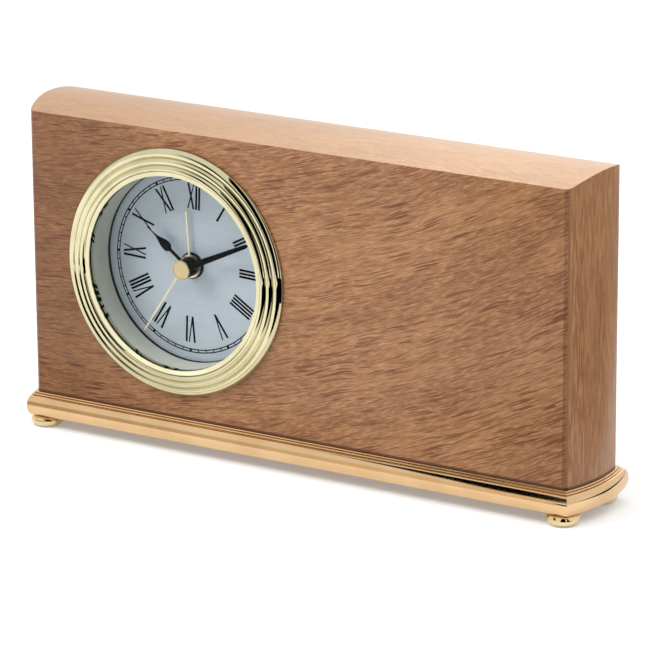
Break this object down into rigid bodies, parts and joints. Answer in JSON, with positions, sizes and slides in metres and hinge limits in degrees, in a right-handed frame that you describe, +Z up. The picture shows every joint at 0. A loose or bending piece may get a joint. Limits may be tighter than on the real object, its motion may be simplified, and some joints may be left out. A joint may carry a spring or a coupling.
{
  "type": "desk clock",
  "caption": "Wooden desk clock with a round alarm insert, a moulded brass base and bun feet.",
  "frame": {"origin": "at floor level, under the middle of the moulded base", "axes": "+Z up, -Y out of the dial, +X to the right as one faces the dial"},
  "size_m": [0.1858, 0.031, 0.0964],
  "materials": {
    "wood": "satin oiled",
    "base_brass": "polished",
    "bezel_brass": "polished",
    "hand_brass": "polished",
    "lens": "clear",
    "reflector": "satin",
    "dial": "matt",
    "black_metal": "satin",
    "black_plastic": "moulded",
    "white_plastic": "moulded",
    "steel": "satin",
    "nickel": "bright",
    "gear_plastic": "moulded",
    "gear_brass": "satin",
    "copper": "enamelled wire",
    "board": "laminate",
    "chip": "potting compound",
    "cell": "satin sleeve",
    "rubber": "matt",
    "magnet": "ground"
  },
  "bodies": {
    "stand": {"wood_block": "wood", "base_plate": "base_brass", "base_screws": "steel", "foot_front_left": "base_brass", "foot_front_right": "base_brass", "foot_back_left": "base_brass", "foot_back_right": "base_brass"},
    "insert": {"bezel": "bezel_brass", "lens": "lens", "reflector_ring": "reflector", "dial": "dial", "dial_nut": "black_metal", "case_barrel": "black_plastic", "grip_band": "rubber", "front_plate": "black_plastic", "middle_plate": "white_plastic", "rear_plate": "white_plastic", "plate_screws": "steel", "stator": "steel", "coil_core": "steel", "coil_winding": "copper", "coil_screws": "steel", "circuit_board": "board", "board_screws": "steel", "chip_cap": "chip", "crystal_can": "nickel", "piezo_disc": "gear_brass", "battery_cell": "cell", "back_cover": "black_plastic", "cover_screws": "steel", "contact_minus": "nickel", "contact_plus": "nickel"},
    "minute": {"minute_hand": "black_metal", "cannon_pinion": "gear_brass"},
    "hour": {"hour_hand": "black_metal", "hour_wheel": "gear_plastic"},
    "motion": {"minute_wheel": "gear_plastic"},
    "time_setting": {"time_knob": "black_plastic", "time_arbor": "gear_plastic"},
    "seconds": {"second_hand": "hand_brass", "second_hand_cap": "hand_brass", "seconds_wheel": "gear_brass"},
    "fifth": {"fifth_wheel": "gear_plastic"},
    "rotor": {"rotor_magnet": "magnet", "rotor_pinion": "gear_plastic"},
    "third": {"third_wheel": "gear_brass"},
    "centre": {"centre_wheel": "gear_brass"},
    "alarm": {"alarm_hand": "hand_brass", "alarm_wheel": "gear_plastic"},
    "alarm_setting": {"alarm_knob": "black_plastic", "alarm_arbor": "gear_plastic"},
    "switch": {"alarm_switch": "white_plastic"},
    "door": {"battery_door": "black_plastic"}
  },
  "joints": [
    {"name": "insert_slide", "type": "slide", "parent": "stand", "child": "insert", "axis": [0, -1, 0], "range_m": [0, 0.032]},
    {"name": "minute_turn", "type": "hinge", "parent": "insert", "child": "minute", "pos_m": [-0.03825, 0.00125, 0.0528], "axis": [0, -1, 0], "continuous": true},
    {"name": "hour_turn", "type": "hinge", "parent": "insert", "child": "hour", "pos_m": [-0.03825, 0.00125, 0.0528], "axis": [0, -1, 0], "continuous": true},
    {"name": "motion_turn", "type": "hinge", "parent": "insert", "child": "motion", "pos_m": [-0.03275, 0.00125, 0.04895], "axis": [0, -1, 0], "continuous": true},
    {"name": "time_knob_turn", "type": "hinge", "parent": "insert", "child": "time_setting", "pos_m": [-0.02602, 0.00125, 0.04895], "axis": [0, -1, 0], "continuous": true},
    {"name": "seconds_turn", "type": "hinge", "parent": "insert", "child": "seconds", "pos_m": [-0.03825, 0.00125, 0.0528], "axis": [0, -1, 0], "continuous": true},
    {"name": "fifth_turn", "type": "hinge", "parent": "insert", "child": "fifth", "pos_m": [-0.04345, 0.00125, 0.0558], "axis": [0, -1, 0], "continuous": true},
    {"name": "rotor_turn", "type": "hinge", "parent": "insert", "child": "rotor", "pos_m": [-0.04836, 0.00125, 0.05863], "axis": [0, -1, 0], "continuous": true},
    {"name": "third_turn", "type": "hinge", "parent": "insert", "child": "third", "pos_m": [-0.03417, 0.00125, 0.05987], "axis": [0, -1, 0], "continuous": true},
    {"name": "centre_turn", "type": "hinge", "parent": "insert", "child": "centre", "pos_m": [-0.03825, 0.00125, 0.0528], "axis": [0, -1, 0], "continuous": true},
    {"name": "alarm_turn", "type": "hinge", "parent": "insert", "child": "alarm", "pos_m": [-0.03825, 0.00125, 0.0528], "axis": [0, -1, 0], "continuous": true},
    {"name": "alarm_knob_turn", "type": "hinge", "parent": "insert", "child": "alarm_setting", "pos_m": [-0.04611, 0.00125, 0.04729], "axis": [0, -1, 0], "continuous": true},
    {"name": "switch_slide", "type": "slide", "parent": "insert", "child": "switch", "axis": [1, 0, 0], "range_m": [0, 0.003]},
    {"name": "door_slide", "type": "slide", "parent": "insert", "child": "door", "axis": [0, 1, 0], "range_m": [0, 0.015]}
  ],
  "couplings": [
    {"joint": "hour_turn", "follows": "minute_turn", "ratio": 0.083333},
    {"joint": "motion_turn", "follows": "minute_turn", "ratio": -0.33333},
    {"joint": "time_knob_turn", "follows": "minute_turn", "ratio": 1},
    {"joint": "fifth_turn", "follows": "seconds_turn", "ratio": -5},
    {"joint": "rotor_turn", "follows": "seconds_turn", "ratio": 30},
    {"joint": "third_turn", "follows": "seconds_turn", "ratio": -0.13333},
    {"joint": "centre_turn", "follows": "seconds_turn", "ratio": 0.016667},
    {"joint": "alarm_knob_turn", "follows": "alarm_turn", "ratio": -1.4}
  ]
}
